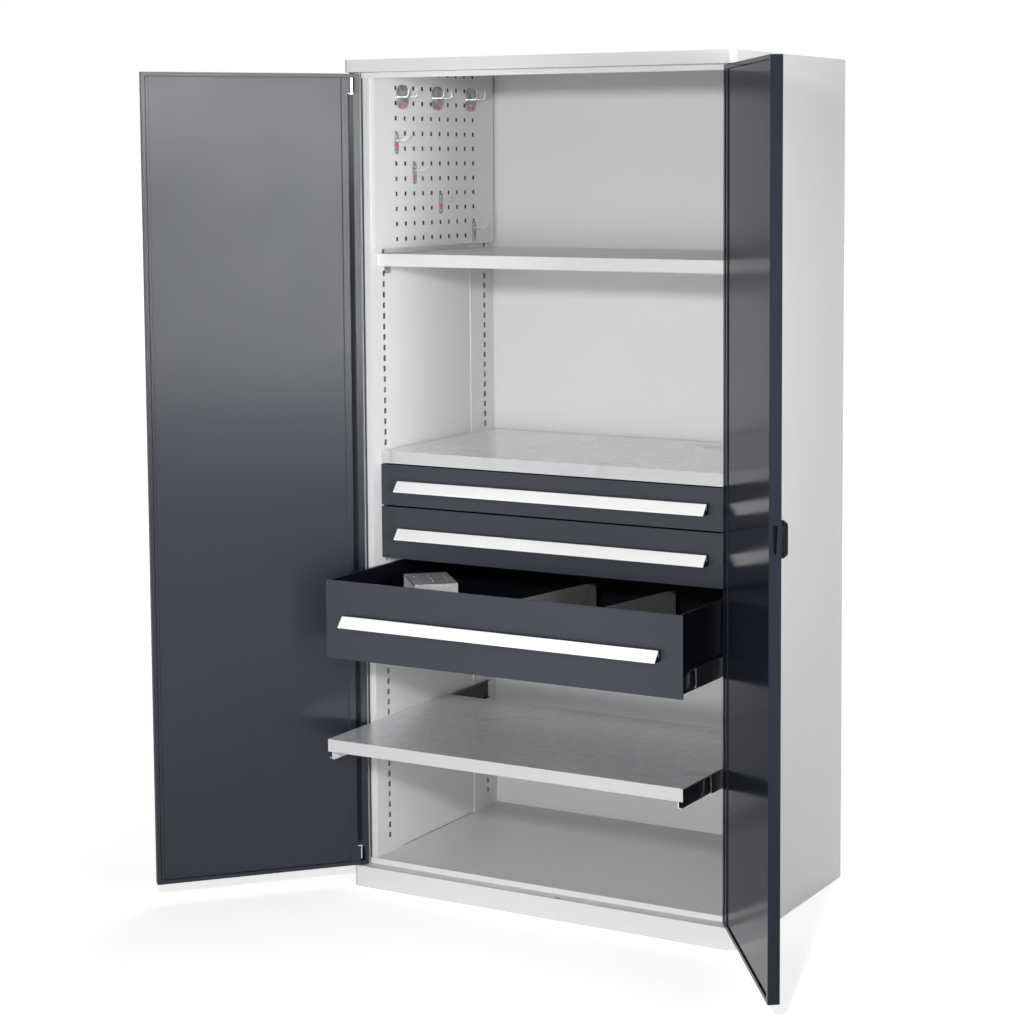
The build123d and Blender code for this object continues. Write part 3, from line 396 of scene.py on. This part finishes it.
def studio_floor(size):
    """White floor: it takes the object's shadow and fades to the plain backdrop away from it."""
    fade_start, fade_end, glow_at_start = 1.2, 5.0, 0.50
    mesh = bpy.data.meshes.new("floor")
    mesh.from_pydata([(-size, -size, 0), (size, -size, 0), (size, size, 0), (-size, size, 0)], [], [(0, 1, 2, 3)])
    obj = bpy.data.objects.new("floor", mesh)
    scene.collection.objects.link(obj)
    g = Graph("studio_floor")
    speck = g.ranged(g.noise(6.0), 0.3, 0.7, 0.0, 1.0)
    tone = g.mix(speck, rgb(0.88, 0.88, 0.88), rgb(0.90, 0.90, 0.90))
    mesh.materials.append(g.finish(tone, g.ranged(speck, 0.0, 1.0, 0.75, 0.85), specular=0.0))
    rays = g.add("ShaderNodeLightPath").outputs
    seen = g.math("MAXIMUM", rays["Is Camera Ray"], rays["Is Glossy Ray"])
    seen = g.math("MAXIMUM", seen, rays["Is Transmission Ray"])
    reach = g.add("ShaderNodeVectorMath", operation="LENGTH")
    g.link(g.place, reach.inputs[0])
    glow = g.add("ShaderNodeEmission")
    rise = g.ranged(reach.outputs["Value"], fade_start, fade_end, glow_at_start, 1.0)
    g.link(g.math("MULTIPLY", seen, rise), glow.inputs["Strength"])
    both = g.add("ShaderNodeAddShader")
    g.link(g.shader.outputs["BSDF"], both.inputs[0])
    g.link(glow.outputs[0], both.inputs[1])
    g.link(both.outputs[0], g.output.inputs["Surface"])


def studio_world(level):
    """Even light of one level; what the camera, metal and glass see of it is plain white."""
    world = bpy.data.worlds.new("studio")
    scene.world = world
    world.use_nodes = True
    tree = world.node_tree
    tree.nodes.clear()
    out = tree.nodes.new("ShaderNodeOutputWorld")
    shown = tree.nodes.new("ShaderNodeBackground")
    lighting = tree.nodes.new("ShaderNodeBackground")
    mixer = tree.nodes.new("ShaderNodeMixShader")
    rays = tree.nodes.new("ShaderNodeLightPath").outputs
    shown.inputs["Strength"].default_value = 1.0
    shown.inputs["Color"].default_value = rgb(1.0, 1.0, 1.0)
    lighting.inputs["Color"].default_value = rgb(0.98, 0.99, 1.0)
    lighting.inputs["Strength"].default_value = level
    seen = rays["Is Camera Ray"]
    for kind in ("Is Glossy Ray", "Is Transmission Ray"):
        either = tree.nodes.new("ShaderNodeMath")
        either.operation = "MAXIMUM"
        tree.links.new(seen, either.inputs[0])
        tree.links.new(rays[kind], either.inputs[1])
        seen = either.outputs[0]
    tree.links.new(seen, mixer.inputs["Fac"])
    tree.links.new(lighting.outputs[0], mixer.inputs[1])
    tree.links.new(shown.outputs[0], mixer.inputs[2])
    tree.links.new(mixer.outputs[0], out.inputs["Surface"])


def softbox(name, place, target, width, height, power, beam=180.0):
    """Area lamp that looks at its target, with its power in watts and its beam in degrees."""
    data = bpy.data.lights.new(name, "AREA")
    data.shape = "RECTANGLE"
    data.size = width
    data.size_y = height
    data.energy = power
    data.spread = math.radians(beam)
    obj = bpy.data.objects.new(name, data)
    obj.location = place
    obj.rotation_euler = (Vector(target) - Vector(place)).to_track_quat("-Z", "Y").to_euler()
    scene.collection.objects.link(obj)


studio_floor(40.0)
studio_world(0.15)
softbox("key", (1.7, -4.0, 2.08), (0.0, 0.0, 1.0), width=0.22, height=0.22, power=101)
softbox("low_fill", (1.6, -6.0, 0.8), (0.0, 0.0, 0.25), width=2.4, height=1.2, power=9.5, beam=40)
softbox("door_light", (3.05, -1.95, 1.36), (-0.48, -0.52, 1.42), width=0.5, height=1.10, power=8.5, beam=50)
softbox("side_fill", (4.6, 0.8, 1.5), (0.5, 0.1, 0.9), width=2.0, height=2.0, power=45)
softbox("overhead", (0.0, 1.5, 5.0), (0.0, 0.0, 0.0), width=4.0, height=4.0, power=100)

# Camera of the reference photograph, solved from the outline of the cabinet in it
camera_place = (2.6017, -4.7235, 1.7160)
yaw, pitch, roll = math.radians(28.2594), math.radians(-5.1719), math.radians(-0.1532)
image_px = 1024
lens_px = 2307.42
centre_px = (620.0, 370.0)
sensor_mm = 36.0
camera_data = bpy.data.cameras.new("camera")
camera = bpy.data.objects.new("camera", camera_data)
scene.collection.objects.link(camera)
scene.camera = camera
camera_data.sensor_width = sensor_mm
camera_data.lens = lens_px / image_px * sensor_mm
camera_data.shift_x = (image_px / 2 - centre_px[0]) / image_px
camera_data.shift_y = (centre_px[1] - image_px / 2) / image_px
camera_data.clip_end = 200.0
forward = Vector((-math.sin(yaw) * math.cos(pitch), math.cos(yaw) * math.cos(pitch), math.sin(pitch)))
level_right = Vector((math.cos(yaw), math.sin(yaw), 0.0))
level_up = level_right.cross(forward)
right = math.cos(roll) * level_right + math.sin(roll) * level_up
up = math.cos(roll) * level_up - math.sin(roll) * level_right
turn = Matrix((right, up, -forward)).transposed().to_4x4()
camera.matrix_world = Matrix.Translation(camera_place) @ turn

scene.view_settings.view_transform = "Standard"
